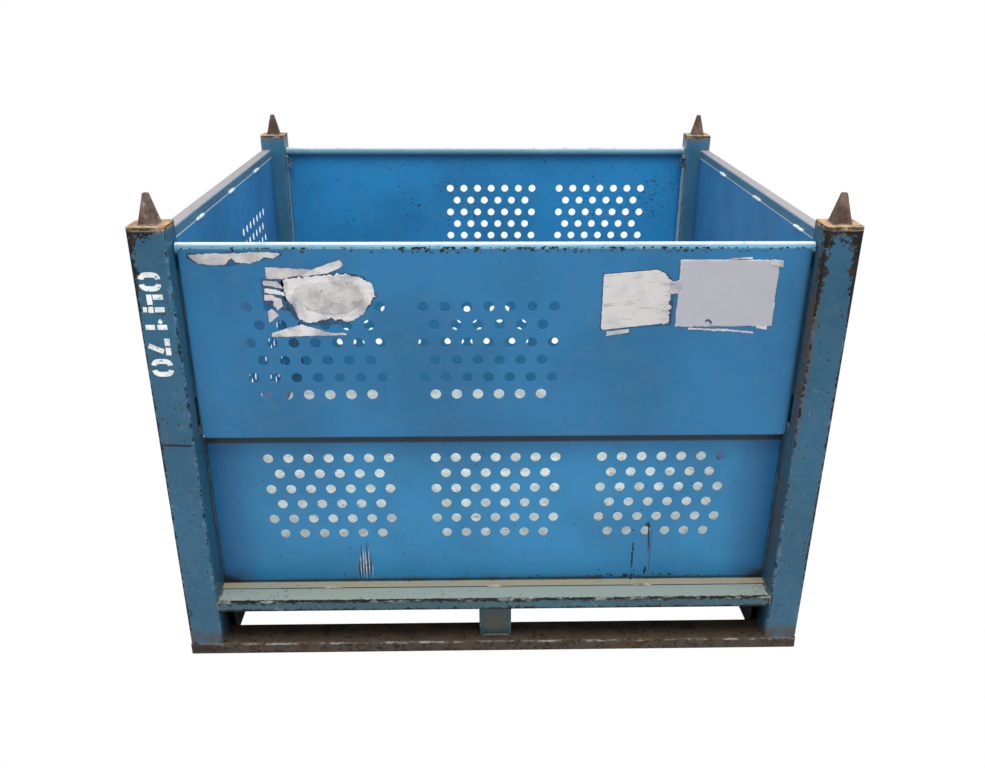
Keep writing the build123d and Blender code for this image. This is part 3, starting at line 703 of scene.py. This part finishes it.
LEDGE_STITCH_Y = {-1: (-0.229, 0.041, 0.305), 1: (0.251, -0.048, -0.331)}
LEDGE_STITCH_HALF = 0.028
ledge_stitches, top_rail_runs = [], []
top_low, top_high = quarter("side_top_rail_left")
for sx in (-1, 1):
    for y in LEDGE_STITCH_Y[sx]:
        ledge_stitches.append(((sx * (top_low[0] - 0.0012), y - LEDGE_STITCH_HALF, side_high[2]),
                               (sx * (top_low[0] - 0.0012), y + LEDGE_STITCH_HALF, side_high[2]), 0.0034))
    for sy in (-1, 1):
        y = sy * (post_low[1] - 0.0005)
        top_rail_runs += [((sx * (top_low[0] + 0.002), y, top_high[2]),
                           (sx * (top_high[0] - 0.002), y, top_high[2]), 0.002),
                          ((sx * top_low[0], y, top_low[2]), (sx * top_low[0], y, top_high[2]), 0.0018)]
weld_beads("side_sheet_stitch_welds", ledge_stitches, rubbed_weld)
weld_beads("side_top_rail_welds", top_rail_runs)


# ---------------------------------------------------------------------------------------------
# Stencilled number: white paint sprayed through a stencil on the front left post, reading
# downwards. The digits stand for any mark, and are worn through to the blue in places.
STENCIL_LIFT = 0.00015
STENCIL_HALF_STROKE = 0.0045
DIGIT_HEIGHT = 0.0285
DIGIT_WIDTH = 0.0240
DIGIT_STEP = 0.0385
NUMBER_START = (-0.5960, 0.7850)


def ring_part(first, last):
    """Part of a squared oval that fills the digit, between two angles in turns."""
    angle = 2 * np.pi * np.linspace(first, last, 24)
    across = np.sign(np.cos(angle)) * np.abs(np.cos(angle)) ** 0.62
    up = np.sign(np.sin(angle)) * np.abs(np.sin(angle)) ** 0.62
    return np.stack([0.5 + 0.5 * across, 0.5 + 0.5 * up], axis=1)


def straight(*corners):
    """Points along straight strokes."""
    corners = np.array(corners, float)
    return np.concatenate([a + np.linspace(0, 1, 8)[:, None] * (b - a) for a,
                           b in zip(corners[:-1], corners[1:])])


DIGITS = {"0": [ring_part(0.28, 0.72), ring_part(-0.22, 0.22)],
          "4": [straight((0.0, 1.14), (0.0, 0.54)), straight((-0.19, 0.33), (0.56, 0.33)),
                straight((0.92, 1.14), (0.92, 0.56)), straight((0.70, 0.33), (1.15, 0.33)),
                straight((0.92, 0.10), (0.92, -0.14))],
          "1": [straight((0.62, -0.14), (0.62, 0.42)), straight((0.62, 0.56), (0.62, 1.14)),
                straight((0.10, 0.70), (0.24, 0.90))],
          "7": [straight((-0.14, 1.0), (0.42, 1.0)), straight((0.56, 1.0), (1.14, 1.0)),
                straight((0.86, 0.72), (0.40, -0.14))]}


def stencilled(name, number):
    """Flat ribbons along each stroke: at every point the stroke's normal is half a stroke to each
    side. A digit's width runs down the post and its height runs to the right."""
    points, faces, count = [], [], 0
    for place, digit in enumerate(number):
        for stroke in DIGITS[digit]:
            stroke = stroke[np.concatenate([[True], np.linalg.norm(np.diff(stroke, axis=0), axis=1) > 1e-6])]
            line = stroke * (DIGIT_WIDTH, DIGIT_HEIGHT)
            run = np.gradient(line, axis=0)
            run /= np.linalg.norm(run, axis=1)[:, None]
            normal = np.stack([-run[:, 1], run[:, 0]], axis=1)
            edges = np.stack([line + STENCIL_HALF_STROKE * normal, line - STENCIL_HALF_STROKE * normal],
                             axis=1)
            down = NUMBER_START[1] - place * DIGIT_STEP - edges[..., 0]
            right = NUMBER_START[0] + edges[..., 1]
            face = np.full_like(down, -post_high[1] - STENCIL_LIFT)
            points.append(np.stack([right, face, down], axis=-1).reshape(-1, 3))
            faces.append(grid_faces(len(line), 2, False) + count)
            count += 2 * len(line)
    return made(name, np.concatenate(points), np.concatenate(faces), stencil_white, "frame")


f = Finish("stencil_white")
wear = f.noise(120.0, 6.0, 0.75)
film = f.mix(f.rise(f.noise(45.0, 4.0, 0.6), 0.35, 0.75), (0.62, 0.64, 0.63), (0.40, 0.42, 0.41))
f.feed(f.shader.inputs["Base Color"], f.mix(f.rise(wear, 0.585, 0.625), film, POST_BLUE))
f.shader.inputs["Roughness"].default_value = 0.6
stencil_white = f.material
stencilled("stencilled_number", "04170")


# ---------------------------------------------------------------------------------------------
# Old paper labels on the front gate: blank sheets and torn scraps, glued on, scraped at and
# crumpled. Where one lies over the punched holes it has sunk a little into them.
def waves(x, z, seed, longest, count=10):
    """Smooth seeded noise from -1 to 1: a sum of slanted sine waves of shorter and shorter length."""
    random = np.random.default_rng(seed)
    total = np.zeros_like(x)
    for number in range(count):
        length = longest * 0.72 ** number
        angle, phase = random.uniform(0, 2 * np.pi, 2)
        total += 0.8 ** number * np.sin(2 * np.pi * (x * np.cos(angle) + z * np.sin(angle)) / length + phase)
    return total / 3.0


def paper(name, upper, lower, material, seed, ragged=0.0006, crumple=0.0004, lift=0.0003, torn=(1, 1, 1, 1)):
    """A sheet between an upper and a lower outline, given as (x, z) in millimetres from left to
    right. Its left, right, lower and upper edges are torn by fine waves, each by its own share; its
    face rises and falls by long waves, and it dips where it crosses a hole."""
    upper, lower = np.array(upper, float) / 1000, np.array(lower, float) / 1000
    left, right = max(upper[0, 0], lower[0, 0]), min(upper[-1, 0], lower[-1, 0])
    columns = int((right - left) / PAPER_STEP) + 6
    rows = int((upper[:, 1].max() - lower[:, 1].min()) / PAPER_STEP) + 6
    u, v = np.meshgrid(np.linspace(0, 1, columns), np.linspace(0, 1, rows), indexing="ij")
    x = left + (right - left) * u
    high = np.interp(x, upper[:, 0], upper[:, 1])
    low = np.interp(x, lower[:, 0], lower[:, 1])
    z = low + (high - low) * v
    fibres = waves(0.3 * x, z, seed + 5, 0.006, 8)
    near_left, near_right = torn[0] * (1 - u) ** 12, torn[1] * u ** 12
    near_low, near_high = torn[2] * (1 - v) ** 12, torn[3] * v ** 12
    near = np.maximum(np.maximum(near_left, near_right), np.maximum(near_low, near_high))
    x_torn = x + ragged * near * waves(x, z, seed, 0.016, 14)
    z_torn = z + ragged * near * waves(x, z, seed + 1, 0.016, 14)
    x_torn = x_torn + 0.6 * ragged * near_right * fibres
    rise = crumple * (0.5 + 0.5 * np.clip(waves(x, z, seed + 2, 0.05), -1, 1))
    for across in HOLE_ACROSS:
        for row, up in enumerate(HOLE_UP):
            away = np.hypot(x_torn - across - (row % 2) * HOLE_PITCH / 2, z_torn - up)
            rise = np.where(away < HOLE_RADIUS, -PAPER_SINK * (1 - (away / HOLE_RADIUS) ** 2), rise)
    y = gate_face - lift - rise
    sheet = np.stack([x_torn, y, z_torn], axis=-1).reshape(-1, 3)
    piece = made(name, sheet, grid_faces(columns, rows, False), material, "front_gate")
    thick = piece.modifiers.new("paper_thickness", "SOLIDIFY")
    thick.thickness = 0.0002
    thick.offset = 0.0
    piece.data.polygons.foreach_set("use_smooth", np.ones(len(piece.data.polygons), bool))
    return piece


def paper_finish(name, pale, dirty, dirt_level, grain=(1, 1, 1), border=None):
    """Paper that has greyed in patches, with torn fibres standing up along one direction."""
    f = Finish(name)
    cloud = f.noise(22.0, 5.0, 0.65)
    colour = f.mix(f.rise(cloud, dirt_level - 0.12, dirt_level + 0.14), pale, dirty)
    fibre = f.noise(55.0, 6.0, 0.7, grain)
    colour = f.mix(f.sum("MULTIPLY", f.rise(fibre, 0.56, 0.70), 0.75), colour, tuple(0.55 * c for c in dirty))
    if border:
        inside = f.rise(f.edge(*border, 0.012), 0.2, 0.9)
        colour = f.mix(inside, colour, tuple(1.12 * c for c in pale))
    f.feed(f.shader.inputs["Base Color"], colour)
    f.shader.inputs["Roughness"].default_value = 0.85
    bump = f.tree.nodes.new("ShaderNodeBump")
    bump.inputs["Strength"].default_value = 0.6
    bump.inputs["Distance"].default_value = 0.0005
    f.feed(bump.inputs["Height"], fibre)
    f.feed(f.shader.inputs["Normal"], bump.outputs[0])
    return f.material


PAPER_STEP = 0.0013
PAPER_SINK = 0.0006
HOLE_RADIUS = 0.0095
HOLE_PITCH = 0.0381
HOLE_ACROSS = [-0.4338 + HOLE_PITCH * column for column in range(7)]
HOLE_UP = [0.7180 - 0.0330 * row for row in range(6)]
gate_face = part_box("gate_sheet_front")[0].y

torn_white = paper_finish("torn_white_paper", (0.47, 0.46, 0.45), (0.26, 0.25, 0.26), 0.52)
torn_pink = paper_finish("torn_pink_paper", (0.42, 0.38, 0.38), (0.24, 0.23, 0.26), 0.50)
torn_grey = paper_finish("torn_grey_paper", (0.40, 0.39, 0.38), (0.26, 0.25, 0.25), 0.50, (1, 1, 1.6))
scraped_white = paper_finish("scraped_white_paper", (0.415, 0.405, 0.395), (0.35, 0.345, 0.345), 0.55,
                             (0.4, 1, 3.0))
smooth_grey = paper_finish("smooth_grey_paper", (0.290, 0.292, 0.322), (0.278, 0.280, 0.306), 0.55,
                           (0.05, 1, 0.05))
glue_blue = paper_finish("glue_blue", (0.012, 0.060, 0.130), (0.008, 0.030, 0.065), 0.50)

paper("label_strip", [(-521, 811), (-487, 813), (-451, 813), (-404, 815), (-368, 814)],
      [(-521, 808), (-519, 804), (-507, 796), (-487, 793), (-459, 794), (-456, 801), (-450, 804), (-443, 797),
       (-419, 796), (-404, 800), (-395, 806), (-378, 804), (-368, 812)], torn_grey, 11, 0.0016)
paper("label_scrap_top", [(-396, 789), (-319, 785)],
      [(-395, 769), (-368, 768), (-354, 772), (-332, 775), (-319, 784)],
      torn_pink, 12, 0.0008)
paper("label_scrap_slanted", [(-334, 775), (-319, 784), (-269, 801), (-262, 795)],
      [(-334, 772), (-289, 779), (-268, 787), (-262, 793)], torn_white, 13, 0.0009, 0.0008, 0.0006)
paper("label_sliver_top", [(-401, 766), (-378, 764), (-369, 756)], [(-401, 757), (-385, 755), (-369, 751)],
      torn_pink, 14, 0.0012)
paper("label_sliver_middle", [(-400, 752), (-384, 750), (-366, 744)], [(-400, 745), (-380, 741), (-366, 738)],
      torn_white, 31, 0.0014)
paper("label_sliver_low", [(-401, 741), (-391, 741), (-372, 733)], [(-401, 731), (-388, 730), (-372, 724)],
      torn_pink, 32, 0.0014)
paper("label_sliver_slanted", [(-386, 731), (-377, 733), (-371, 726)],
      [(-386, 722), (-380, 712), (-371, 720)],
      torn_grey, 33, 0.0012)
paper("label_crumpled_rim", [(-366, 768), (-340, 771), (-293, 775), (-262, 777), (-232, 770), (-215, 759),
                             (-212, 741)],
      [(-366, 747), (-361, 729), (-350, 718), (-347, 698), (-326, 689), (-291, 698), (-274, 695), (-257, 691),
       (-235, 704), (-222, 722), (-212, 738)], torn_white, 15, 0.0026, 0.0016)
paper("label_crumpled_face", [(-352, 742), (-335, 757), (-300, 762), (-262, 763), (-240, 752), (-231, 738)],
      [(-352, 736), (-335, 722), (-318, 712), (-290, 706), (-262, 708), (-240, 722), (-231, 736)],
      torn_grey, 16, 0.0016, 0.0010, 0.0016)
paper("label_scrap_bottom", [(-394, 671), (-365, 680), (-341, 686), (-313, 678), (-293, 671), (-265, 671)],
      [(-394, 664), (-265, 667)], torn_white, 17, 0.0010)
paper("label_scrap_small", [(-397, 711), (-390, 715), (-379, 704)], [(-397, 689), (-379, 703)], torn_pink,
      18, 0.0010)
paper("label_scraped", [(183, 775), (275, 783), (290, 776), (301, 762)],
      [(183, 676), (189, 675), (234, 680), (301, 687)], scraped_white, 21, 0.0040, torn=(0.12, 1, 0.10, 0.10))
paper("label_scraped_corner", [(193, 672), (233, 676)], [(193, 663), (233, 670)], torn_grey, 22, 0.0008)
paper("label_scraped_joint", [(299, 761), (319, 767)], [(299, 742), (319, 739)], torn_pink, 23, 0.0020)
paper("label_plain", [(315, 799), (484, 799)], [(315, 682), (484, 682)], smooth_grey, 24, 0.0006, 0.0002)
paper("label_plain_border", [(314, 800.5), (485, 800.5)], [(314, 680.5), (485, 680.5)],
      torn_white, 29, 0.0008, 0.0, 0.0002)
paper("label_plain_hook", [(366, 692), (372, 694), (378, 690)], [(366, 689), (372, 690.5), (378, 684)],
      glue_blue, 30, 0.0006, 0.0, 0.0009)
paper("label_plain_corner", [(469, 801), (491, 799)], [(469, 792), (491, 787)], torn_white, 25, 0.0012,
      0.0004, 0.0008)
paper("label_edge_low", [(337, 678), (394, 676), (453, 671)], [(337, 675), (413, 671), (453, 667)],
      torn_pink, 26, 0.0012)
paper("label_edge_high", [(400, 803), (437, 805)], [(400, 801), (437, 802)], torn_white, 27, 0.0006)
paper("label_edge_right", [(458, 683), (477, 682)], [(458, 677), (477, 674)], torn_white, 28, 0.0008)

GLUED = [("label_strip", [(-524, 813), (-451, 816), (-365, 816)],
          [(-524, 804), (-505, 794), (-455, 791), (-365, 808)]),
         ("label_crumpled", [(-371, 770), (-340, 775), (-262, 780), (-228, 772), (-208, 741)],
          [(-371, 741), (-352, 697), (-326, 685), (-257, 687), (-219, 719), (-208, 739)]),
         ("label_slivers", [(-404, 768), (-364, 765)], [(-404, 727), (-388, 716), (-364, 712)]),
         ("label_scraped", [(181, 777), (275, 785), (291, 779), (307, 760)],
          [(181, 674), (234, 678), (307, 684)]),
         ("label_plain", [(313, 801), (486, 801)], [(313, 680), (486, 680)])]
for seed, (name, upper, lower) in enumerate(GLUED):
    paper(name + "_glue", upper, lower, glue_blue, 40 + seed, 0.0012, 0.0, 0.00012)


# ---------------------------------------------------------------------------------------------
# Scratches on the lower front sheet: a bundle of upright scrapes, pale beside dark, where a fork
# caught it, and a few dark ones further right. Each is a slender lens on the sheet's face.
SCRATCH_ROWS = 14


def scratch_marks(name, marks, colour):
    """One lens for each (x, low z, high z, half width, lean): its half width follows a half sine."""
    t = np.linspace(0, 1, SCRATCH_ROWS)[:, None]
    points, faces = [], []
    for count, (x, low, high, half, lean) in enumerate(marks):
        wobble = 0.25 * half * np.sin(9 * t + count)
        middle = x + lean * t + wobble
        spread = half * np.sin(np.pi * np.clip(t, 0.004, 0.996)) * np.array((-1.0, 1.0))
        across = middle + spread
        up = np.repeat(low + (high - low) * t, 2, axis=1)
        face = np.full_like(up, lower_face - 0.00012)
        points.append(np.stack([across, face, up], axis=-1).reshape(-1, 3))
        faces.append(grid_faces(SCRATCH_ROWS, 2, False) + 2 * SCRATCH_ROWS * count)
    f = Finish(name + "_finish")
    patches = f.rise(f.noise(150.0, 4.0, 0.6), 0.35, 0.70)
    f.feed(f.shader.inputs["Base Color"], f.mix(patches, colour, tuple(0.4 * c for c in colour)))
    f.shader.inputs["Roughness"].default_value = 0.7
    made(name, np.concatenate(points), np.concatenate(faces), f.material, "frame")


scratch_marks("dark_scratches", [
    (-0.2725, 0.134, 0.186, 0.0016, 0.002), (-0.2660, 0.132, 0.222, 0.0014, -0.001),
    (-0.2610, 0.140, 0.178, 0.0012, 0.0),
    (-0.2540, 0.134, 0.230, 0.0015, -0.002), (-0.2495, 0.138, 0.196, 0.0013, 0.001),
    (0.3075, 0.186, 0.272, 0.0019, -0.003),
    (0.3045, 0.250, 0.263, 0.0045, -0.004), (0.3110, 0.135, 0.260, 0.0007, 0.0),
    (0.3030, 0.138, 0.162, 0.0028, 0.001)],
    (0.012, 0.010, 0.010))
scratch_marks("pale_scratches", [
    (-0.2695, 0.138, 0.196, 0.0010, 0.001), (-0.2635, 0.136, 0.212, 0.0010, 0.0),
    (-0.2580, 0.134, 0.206, 0.0011, -0.001),
    (-0.2520, 0.140, 0.210, 0.0009, -0.001), (-0.2470, 0.138, 0.170, 0.0008, 0.002)], (0.42, 0.46, 0.48))


# ---------------------------------------------------------------------------------------------
# Painted light: a flat near-white strip on the inner face of the back right post, beside the back
# gate's edge, that stands in for the light seen through the gap there.
LIT_GAP_Y = (0.5440, 0.5520)
LIT_GAP_Z = (0.480, 0.832)

f = Finish("lit_gap_paint")
patches = f.rise(f.noise(40.0, 4.0, 0.6), 0.35, 0.60)
f.feed(f.shader.inputs["Base Color"], f.mix(patches, (0.55, 0.60, 0.62), (0.86, 0.88, 0.88)))
f.shader.inputs["Roughness"].default_value = 0.7
bright_x = post_low[0] - 0.0001
bright_line = np.array([(bright_x, LIT_GAP_Y[0], LIT_GAP_Z[0]), (bright_x, LIT_GAP_Y[1], LIT_GAP_Z[0]),
                        (bright_x, LIT_GAP_Y[1], LIT_GAP_Z[1]), (bright_x, LIT_GAP_Y[0], LIT_GAP_Z[1])])
made("painted_light_strip", bright_line, np.array([(0, 1, 2, 3)]), f.material, "frame")
